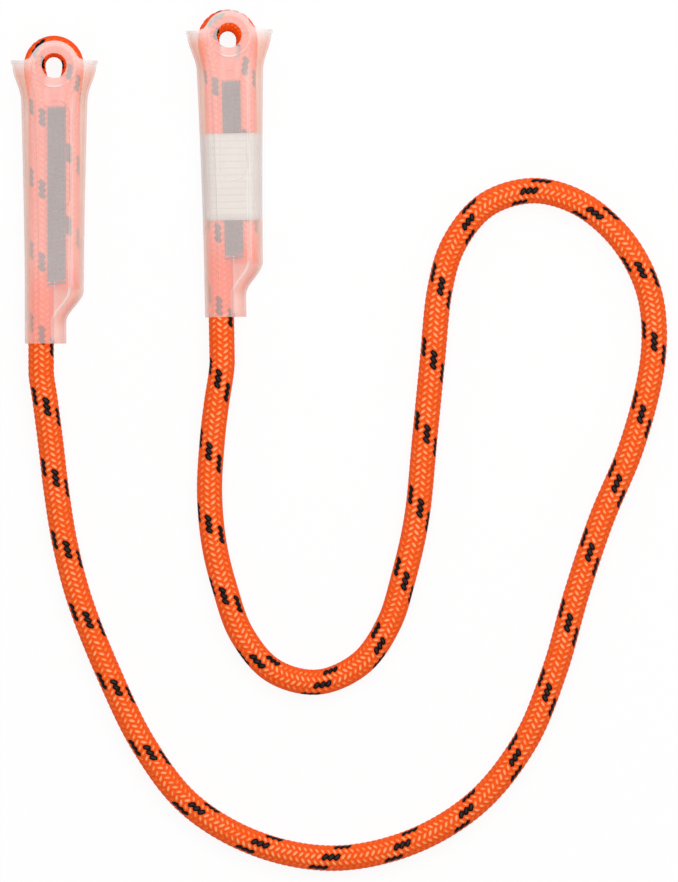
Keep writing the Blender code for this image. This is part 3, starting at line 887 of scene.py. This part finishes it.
def section(form, below, left, right, half_depth, corner, ridge):
    """One section of the sleeve, a rounded rectangle with a fine ridge beside each corner."""
    known_edges = set(form.edges)
    known_verts = set(form.verts)
    foot = RIDGE_WIDTH / 2
    ridge_left = max(left + corner + RIDGE_CLEAR * foot, -RIDGE_REACH)
    ridge_right = min(right - corner - RIDGE_CLEAR * foot, RIDGE_REACH)
    flat = half_depth - corner
    quarter = math.pi / 2
    first = form.verts.new((right, -flat, 0))
    place = straight(form, first, (right, flat))
    place = arc(form, place, (right - corner, flat), quarter, CORNER_STEPS)
    for across in (ridge_right, ridge_left):
        place = straight(form, place, (across + foot, half_depth))
        place = straight(form, place, (across, half_depth + ridge))
        place = straight(form, place, (across - foot, half_depth))
    place = straight(form, place, (left + corner, half_depth))
    place = arc(form, place, (left + corner, flat), quarter, CORNER_STEPS)
    place = straight(form, place, (left, -flat))
    place = arc(form, place, (left + corner, -flat), quarter, CORNER_STEPS)
    for across in (ridge_left, ridge_right):
        place = straight(form, place, (across - foot, -half_depth))
        place = straight(form, place, (across, -half_depth - ridge))
        place = straight(form, place, (across + foot, -half_depth))
    place = straight(form, place, (right - corner, -half_depth))
    place = arc(form, place, (right - corner, -flat), quarter, CORNER_STEPS)
    bmesh.ops.weld_verts(form, targetmap={place: first})
    ring = [vert for vert in form.verts if vert not in known_verts]
    bmesh.ops.rotate(form, verts=ring, cent=(0, 0, 0), matrix=Matrix.Rotation(math.pi / 2, 3, "X"))
    bmesh.ops.translate(form, verts=ring, vec=(0, -below, 0))
    return [edge for edge in form.edges if edge not in known_edges]


def half_width(below):
    """Half the sleeve's width from its lip down to the step."""
    flare = 1 - float(ease((below - LIP_HEIGHT + RIM_RISE) / (SHOULDER_BELOW - LIP_HEIGHT + RIM_RISE)))
    taper = min(max((STEP_START - below) / (STEP_START - SHOULDER_BELOW), 0), 1)
    shoulder = FOOT_HALF_WIDTH + SHOULDER_EXTRA
    ears = EAR_HALF_WIDTH - LIP_SIDE_RISE - shoulder
    return FOOT_HALF_WIDTH + SHOULDER_EXTRA * taper**SHOULDER_CURVE + ears * flare


def sleeve_skin():
    """The outside of the sleeve as an open tube, from above its lobes to its neck's foot."""
    form = bmesh.new()
    ear = EAR_HALF_WIDTH - LIP_SIDE_RISE
    rings = [section(form, -LOBE_RADIUS - LIP_HEIGHT, -ear, ear, LOBE_DEPTH, MOUTH_CORNER, 0)]
    for up, share in LIP_STOPS:
        half = ear + LIP_SIDE_RISE * share
        depth = LOBE_DEPTH + LIP_FACE_RISE * share
        rings.append(section(form, -up, -half, half, depth, MOUTH_CORNER, 0))
    body_depth = HALF_DEPTH - RIDGE_RISE
    for below in np.linspace(BODY_START, STEP_START, BODY_RINGS):
        share = min(below / SHOULDER_BELOW, 1)
        corner = MOUTH_CORNER + (CORNER - MOUTH_CORNER) * share
        recess = float(ease((below - RECESS_FROM) / (RECESS_TO - RECESS_FROM)))
        depth = LOBE_DEPTH + (body_depth - LOBE_DEPTH) * recess
        half = half_width(below)
        rings.append(section(form, below, -half, half, depth, corner, RIDGE_RISE))
    for share in np.linspace(0, 1, STEP_RINGS)[1:]:
        right = FOOT_HALF_WIDTH + (NECK_RIGHT - FOOT_HALF_WIDTH) * float(ease(share))
        below = STEP_START + STEP_HEIGHT * share
        rings.append(section(form, below, -FOOT_HALF_WIDTH, right, body_depth, CORNER, RIDGE_RISE))
    neck = STEP_START + STEP_HEIGHT
    for share in NECK_STOPS:
        below = neck + (NECK_FOOT - neck) * share
        rings.append(section(form, below, -FOOT_HALF_WIDTH, NECK_RIGHT, body_depth, CORNER, RIDGE_RISE))
    for upper, lower in zip(rings, rings[1:]):
        bmesh.ops.bridge_loops(form, edges=upper + lower)
    bmesh.ops.recalc_face_normals(form, faces=form.faces)
    return form


def raise_outline(form, low, high):
    """Fills a closed outline and raises it to a solid."""
    bmesh.ops.remove_doubles(form, verts=form.verts, dist=WALL / 1000)
    base = bmesh.ops.contextual_create(form, geom=form.edges[:])["faces"]
    bmesh.ops.translate(form, verts=form.verts, vec=(0, 0, low))
    raised = bmesh.ops.extrude_face_region(form, geom=base, use_keep_orig=True)
    top = [item for item in raised["geom"] if isinstance(item, bmesh.types.BMVert)]
    bmesh.ops.translate(form, verts=top, vec=(0, 0, high - low))
    bmesh.ops.recalc_face_normals(form, faces=form.faces)


def mouth_solid():
    """What stays of the skin: all below the rim, and the lobes that stand up from it."""
    beyond = 2 * HALF_DEPTH
    far = EAR_HALF_WIDTH + LIP_HEIGHT
    deep = NECK_FOOT + LIP_HEIGHT
    fillet_up = RIM_RISE + LOBE_FILLET
    fillet_across = math.sqrt((LOBE_RADIUS + LOBE_FILLET) ** 2 - fillet_up**2)
    meet = math.atan2(fillet_up, fillet_across)
    form = bmesh.new()
    place = form.verts.new((far, -deep, 0))
    place = straight(form, place, (far, RIM_RISE))
    place = straight(form, place, (fillet_across, RIM_RISE))
    place = arc(form, place, (fillet_across, fillet_up), meet - math.pi / 2, FILLET_STEPS)
    place = arc(form, place, (0, 0), math.pi - 2 * meet, LOBE_STEPS)
    place = arc(form, place, (-fillet_across, fillet_up), meet - math.pi / 2, FILLET_STEPS)
    place = straight(form, place, (-far, RIM_RISE))
    place = straight(form, place, (-far, -deep))
    straight(form, place, (far, -deep))
    raise_outline(form, -beyond, beyond)
    return form


def disc_solid(radius, depth, height):
    """A round disc with its middle at a height over the ring's middle."""
    form = bmesh.new()
    bmesh.ops.create_cone(
        form, segments=RING_STEPS, cap_ends=True, radius1=radius, radius2=radius, depth=depth
    )
    bmesh.ops.translate(form, verts=form.verts, vec=(0, 0, height))
    return form


def ring_solid(face):
    """A lobe's thick ring, pressed in one with it."""
    foot = LOBE_DEPTH - WALL / 2
    return disc_solid(RING_RADIUS, RING_TOP - foot, face * (RING_TOP + foot) / 2)


def band_solid(face):
    """The raised band round a ring."""
    form = bmesh.new()
    bmesh.ops.create_circle(form, segments=BAND_SIDES, radius=BAND_RADIUS)
    bmesh.ops.rotate(form, verts=form.verts, cent=(0, 0, 0), matrix=Matrix.Rotation(math.pi / 2, 3, "X"))
    bmesh.ops.translate(form, verts=form.verts, vec=(BAND_MIDDLE, 0, face * BAND_HEIGHT))
    bmesh.ops.spin(
        form,
        geom=form.verts[:] + form.edges[:],
        cent=(0, 0, 0),
        axis=(0, 0, 1),
        angle=2 * math.pi,
        steps=RING_STEPS,
        use_merge=True,
    )
    bmesh.ops.recalc_face_normals(form, faces=form.faces)
    return form


def window_solid():
    """A long slot with round ends and sloping sides, pressed into the front."""
    radius = WINDOW_WIDTH / 2
    top = -WINDOW_TOP - radius
    foot = -WINDOW_TOP - WINDOW_LENGTH + radius
    face = HALF_DEPTH - RIDGE_RISE
    form = bmesh.new()
    place = form.verts.new((WINDOW_SHIFT + radius, top, 0))
    place = arc(form, place, (WINDOW_SHIFT, top), math.pi, WINDOW_STEPS)
    place = straight(form, place, (WINDOW_SHIFT - radius, foot))
    place = arc(form, place, (WINDOW_SHIFT, foot), math.pi, WINDOW_STEPS)
    straight(form, place, (WINDOW_SHIFT + radius, top))
    raise_outline(form, face - WINDOW_DEPTH, face + WINDOW_DEPTH)
    from_middle = Matrix.Translation((-WINDOW_SHIFT, WINDOW_TOP + WINDOW_LENGTH / 2, 0))
    for vert in form.verts:
        slope = math.copysign(WINDOW_SLOPE, vert.co.z - face)
        widen = (1 + slope / radius, 1 + slope / (WINDOW_LENGTH / 2), 1)
        bmesh.ops.scale(form, verts=[vert], vec=widen, space=from_middle)
    return form


def loose_object(name, form):
    """A helper solid, taken away again once it is used."""
    mesh = as_mesh(name, form)
    mesh.shade_smooth()
    return set_down(bpy.data.objects.new(name, mesh))


def moulded_sleeve():
    """One sleeve in its own place, with the middle of its ring at the origin."""
    sleeve = loose_object("sleeve", sleeve_skin())
    wall = sleeve.modifiers.new("wall", "SOLIDIFY")
    wall.thickness = WALL
    wall.offset = -1
    wall.use_even_offset = True
    tools = [
        (loose_object("mouth", mouth_solid()), "INTERSECT"),
        (loose_object("ring_front", ring_solid(1)), "UNION"),
        (loose_object("ring_back", ring_solid(-1)), "UNION"),
        (loose_object("band_front", band_solid(1)), "UNION"),
        (loose_object("band_back", band_solid(-1)), "UNION"),
        (loose_object("hole", disc_solid(HOLE_RADIUS, 4 * HALF_DEPTH, 0)), "DIFFERENCE"),
        (loose_object("window", window_solid()), "DIFFERENCE"),
    ]
    for tool, operation in tools:
        step = sleeve.modifiers.new(tool.name, "BOOLEAN")
        step.operation = operation
        step.solver = "EXACT"
        step.object = tool
    soften = sleeve.modifiers.new("soften", "BEVEL")
    soften.width = SOFT_EDGE
    soften.segments = SOFT_EDGE_STEPS
    soften.limit_method = "ANGLE"
    soften.angle_limit = SHARPEST_KEPT
    level_faces = sleeve.modifiers.new("level_faces", "WEIGHTED_NORMAL")
    level_faces.mode = "FACE_AREA"
    mesh = as_modelled(sleeve)
    for tool, _ in tools:
        bpy.data.objects.remove(tool)
    bpy.data.objects.remove(sleeve)
    return mesh


def milky_skin(name, drop, stitch_shift, window_edge_shadow, cool_patches):
    """Milky plastic with the rope's orange light painted into its colour: a painted glow, deepest
    where no rope lies under it but light comes round the rope, and left out over the thread and
    the label, which stay cool. Painted highlights run along its raised lines, strongest on the
    right one, and in a strip beside the right one, and the lobe outside each ring is paler. A
    painted shade lines the window's right edge. Each cool patch is given by its half width and by
    how far below the ring's middle it starts and ends."""
    material, shader = new_finish(name, SKIN_ROUGHNESS)

    def math_node(operation, *values):
        return add_math(material, operation, *values)

    def fade(value, low, high, reach=(0, 1)):
        return add_scaling(material, value, low, high, reach, interpolation_type="SMOOTHSTEP")

    def blend(share, start, stop):
        node = add_node(material, "Mix", {"Factor": share}, data_type="RGBA")
        sides = [number for number, socket in enumerate(node.inputs) if socket.type == "RGBA"]
        tones = [(*tone, 1) if isinstance(tone, tuple) else tone for tone in (start, stop)]
        feed(node, dict(zip(sides, tones)))
        return [socket for socket in node.outputs if socket.type == "RGBA"][0]

    own = add_node(material, "Attribute", attribute_name="own_place").outputs["Vector"]
    split = add_node(material, "SeparateXYZ", {"Vector": own}).outputs
    rightwards = split["X"]
    across = math_node("ABSOLUTE", rightwards)
    over_thread = math_node("ABSOLUTE", math_node("SUBTRACT", rightwards, stitch_shift))
    below = math_node("MULTIPLY", split["Y"], -1)
    height = math_node("ABSOLUTE", split["Z"])
    level = add_node(material, "VectorMath", {0: own, 1: (1, 1, 0)}, operation="MULTIPLY")
    from_ring = add_node(material, "VectorMath", {0: level}, operation="LENGTH").outputs["Value"]

    # Painted glow of the rope's orange light: past the tail, towards the neck, at the sides and ears, and
    # in the gap under the hole, where the skin is also denser; left out over the thread and the label.
    below_tail = fade(below, *(TAIL_END + drop - glow_edge for glow_edge in PAST_TAIL_FADE))
    past_tail = math_node("MULTIPLY", below_tail, fade(rightwards, *PAST_TAIL_SIDE))
    tone = blend(fade(below, *NECK_GLOW), SKIN_OVER_ROPE, SKIN_AT_NECK)
    past_tail_glow = blend(fade(below, *NECK_FOOT_GLOW), SKIN_PAST_TAIL, SKIN_AT_NECK_FOOT)
    tone = blend(past_tail, tone, past_tail_glow)
    side_tone = blend(fade(below, *EAR_GLOW), SKIN_AT_SIDES, SKIN_AT_EARS)
    tone = blend(fade(across, *SIDE_GLOW), tone, side_tone)
    under_ring = fade(below, HOLE_RADIUS - PATCH_BLUR, HOLE_RADIUS)
    above_thread = fade(below, STITCH_TOP + drop, STITCH_TOP + drop - PATCH_BLUR)
    gap = math_node("MULTIPLY", fade(across, *GAP_GLOW), math_node("MULTIPLY", under_ring, above_thread))
    tone = blend(gap, tone, SKIN_IN_GAP)
    for half_width_there, top, foot in cool_patches:
        sides = fade(over_thread, half_width_there, half_width_there - PATCH_BLUR)
        start = fade(below, top, top + PATCH_BLUR)
        stop = fade(below, foot, foot - PATCH_BLUR)
        patch = math_node("MULTIPLY", sides, math_node("MULTIPLY", start, stop))
        tone = blend(patch, tone, SKIN_OVER_THREAD)
    # Painted highlights along the ridges, strong on the right and weak on the left, and in a strip beside
    # the right ridge; the lobe outside its ring is paler.
    on_lobe = math_node("MULTIPLY", fade(from_ring, *LOBE_GLOW), fade(split["Y"], *LOBE_GLOW_FROM))
    crest_lit_side = fade(rightwards, *CREST_LIT_SIDE, CREST_SHARE)
    crest_highlight = math_node("MULTIPLY", fade(height, *CREST_FADE), crest_lit_side)
    strip_sides = math_node("MULTIPLY", fade(rightwards, *STRIP_LEFT), fade(rightwards, *STRIP_RIGHT))
    strip_ends = math_node("MULTIPLY", fade(below, *STRIP_TOP), fade(below_tail, 1, 0, (0, STRIP_SHARE)))
    strip = math_node("MULTIPLY", strip_sides, strip_ends)
    raised = math_node("MAXIMUM", math_node("MAXIMUM", crest_highlight, strip), on_lobe)
    tone = blend(raised, tone, SKIN_HIGHLIGHT_AND_LOBE_TONE)

    # A painted shade along the window's right edge on the front, where its wall faces away from the light.
    slot_across = math_node("SUBTRACT", rightwards, WINDOW_SHIFT)
    from_middle = math_node("ABSOLUTE", math_node("SUBTRACT", below, WINDOW_TOP + WINDOW_LENGTH / 2))
    past_straight = math_node("SUBTRACT", from_middle, (WINDOW_LENGTH - WINDOW_WIDTH) / 2)
    slot_along = math_node("MAXIMUM", past_straight, 0)
    across_squared = math_node("MULTIPLY", slot_across, slot_across)
    squared = math_node("ADD", across_squared, math_node("MULTIPLY", slot_along, slot_along))
    from_edge = math_node("ABSOLUTE", math_node("SUBTRACT", math_node("SQRT", squared), WINDOW_WIDTH / 2))
    front = math_node("GREATER_THAN", split["Z"], LOBE_DEPTH - WALL / 2)
    shaded_side = math_node("MULTIPLY", front, fade(rightwards, *WINDOW_LINE_FROM))
    tone = blend(math_node("MULTIPLY", fade(from_edge, *WINDOW_LINE), shaded_side), tone, window_edge_shadow)

    place = add_node(material, "TexCoord").outputs
    cloud_grain = {"Vector": place["Object"], "Scale": CLOUD_SCALE, "Detail": CLOUD_DETAIL}
    cloud = fade(add_node(material, "TexNoise", cloud_grain), *CLOUD_REACH, CLOUD_SHADE)
    clouded = add_node(material, "VectorMath", {0: tone, "Scale": cloud}, operation="SCALE")

    facing = add_node(material, "SeparateXYZ", {"Vector": place["Normal"]})
    upright = math_node("ABSOLUTE", facing.outputs["Z"])
    density = fade(upright, 1, EDGE_FACING, (SKIN_DENSITY, EDGE_DENSITY))
    for share, its_density in ((gap, GAP_DENSITY), (raised, THICK_DENSITY), (past_tail, PAST_TAIL_DENSITY)):
        density = math_node("MAXIMUM", density, fade(share, 0, 1, (SKIN_DENSITY, its_density)))
    ray = add_node(material, "LightPath").outputs
    shading = math_node("MAXIMUM", ray["Is Shadow Ray"], ray["Is Diffuse Ray"])
    density = math_node("MULTIPLY", density, fade(shading, 0, 1, (1, 1 - SHADE_LET_THROUGH)))
    grain = add_node(material, "TexNoise", {"Vector": place["Object"], "Scale": GRAIN_SCALE})
    relief = add_relief(material, grain, GRAIN_RELIEF)
    feed(shader, {"Base Color": clouded, "Alpha": density, "Normal": relief})
    return material


sleeve_mesh = moulded_sleeve()
label_patch = (EAR_HALF_WIDTH, LABEL_TOP, LABEL_TOP + LABEL_LENGTH)
for label, end, drop, stretch, stitch_shift, window_edge_shadow, more_patches in (
    ("a", END_A, 0, 0, STITCH_SHIFT_A, WINDOW_EDGE_SHADOW_A, []),
    ("b", END_B, EYE_B_DROP, STRETCH_B, STITCH_SHIFT_B, WINDOW_EDGE_SHADOW_B, [label_patch]),
):
    thread_patch = (STITCH_WIDTH / 2, STITCH_TOP + drop, STITCH_TOP + drop + STITCH_LENGTH)
    patches = [thread_patch, *more_patches]
    mesh = sleeve_mesh.copy()
    own_places = coordinates(mesh)
    own_places[:, 1] -= stretch * ease((-own_places[:, 1] - STRETCH_FROM) / (NECK_FOOT - STRETCH_FROM))
    mesh.vertices.foreach_set("co", own_places.ravel())
    own_place = mesh.attributes.new("own_place", "FLOAT_VECTOR", "POINT")
    own_place.data.foreach_set("vector", own_places.ravel())
    mesh.transform(end)
    mesh.materials.clear()
    mesh.materials.append(milky_skin(f"milky_skin_{label}", drop, stitch_shift, window_edge_shadow, patches))
    skin = set_down(bpy.data.objects.new(f"skin_{label}", mesh))
    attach(skin, f"sleeve_{label}")
    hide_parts(f"sleeve_{label}")

# Table and light
# A white table under a large soft light, with the rest of a white room round it. The table is
# nearly as bright as the room, and keeps more of its shadow where it is seen through a sleeve.
TABLE_REACH = 2
TABLE_WHITE = (0.95, 0.95, 0.95, 1)
TABLE_ROUGHNESS = 0.9
WHITE_SHARE = 0.9
WHITE_LOST_THROUGH_SLEEVE = 0.28
ROOM_WHITE = (1, 1, 1, 1)
ROOM_LIGHT = 0.43
LAMP_POWER = 28
LAMP_SIZE = 2.0
LAMP_PLACE = (0.25, 0.4, 1.7)

table_form = bmesh.new()
bmesh.ops.create_grid(table_form, x_segments=1, y_segments=1, size=TABLE_REACH)
table = set_down(bpy.data.objects.new("table", as_mesh("table", table_form)))
white_table, white_shader = new_finish("white_table", TABLE_ROUGHNESS)
feed(white_shader, {"Base Color": TABLE_WHITE, "Specular IOR Level": 0})
ray = add_node(white_table, "LightPath").outputs
through_sleeve = (1, 1 - WHITE_LOST_THROUGH_SLEEVE)
white_kept = add_scaling(white_table, ray["Transparent Depth"], 0, 1, through_sleeve)
white_seen = add_math(white_table, "MULTIPLY", ray["Is Camera Ray"], white_kept)
white_share = add_math(white_table, "MULTIPLY", white_seen, WHITE_SHARE)
white_glow = add_node(white_table, "Emission")
white_mix = add_node(white_table, "MixShader", {"Fac": white_share, 1: white_shader, 2: white_glow})
feed(white_table.node_tree.nodes["Material Output"], {"Surface": white_mix})
table.data.materials.append(white_table)

world = bpy.data.worlds.new("room")
world.use_nodes = True
world.node_tree.nodes["Background"].inputs["Color"].default_value = ROOM_WHITE
world.node_tree.nodes["Background"].inputs["Strength"].default_value = ROOM_LIGHT
bpy.context.scene.world = world

softbox = bpy.data.lights.new("softbox", "AREA")
softbox.shape = "SQUARE"
softbox.size = LAMP_SIZE
softbox.energy = LAMP_POWER
lamp = set_down(bpy.data.objects.new("softbox", softbox))
lamp.location = LAMP_PLACE
towards = Vector((*PICTURE_MIDDLE, 0)) - lamp.location
lamp.rotation_euler = towards.to_track_quat("-Z", "Y").to_euler()

bpy.context.scene.view_settings.view_transform = "Standard"
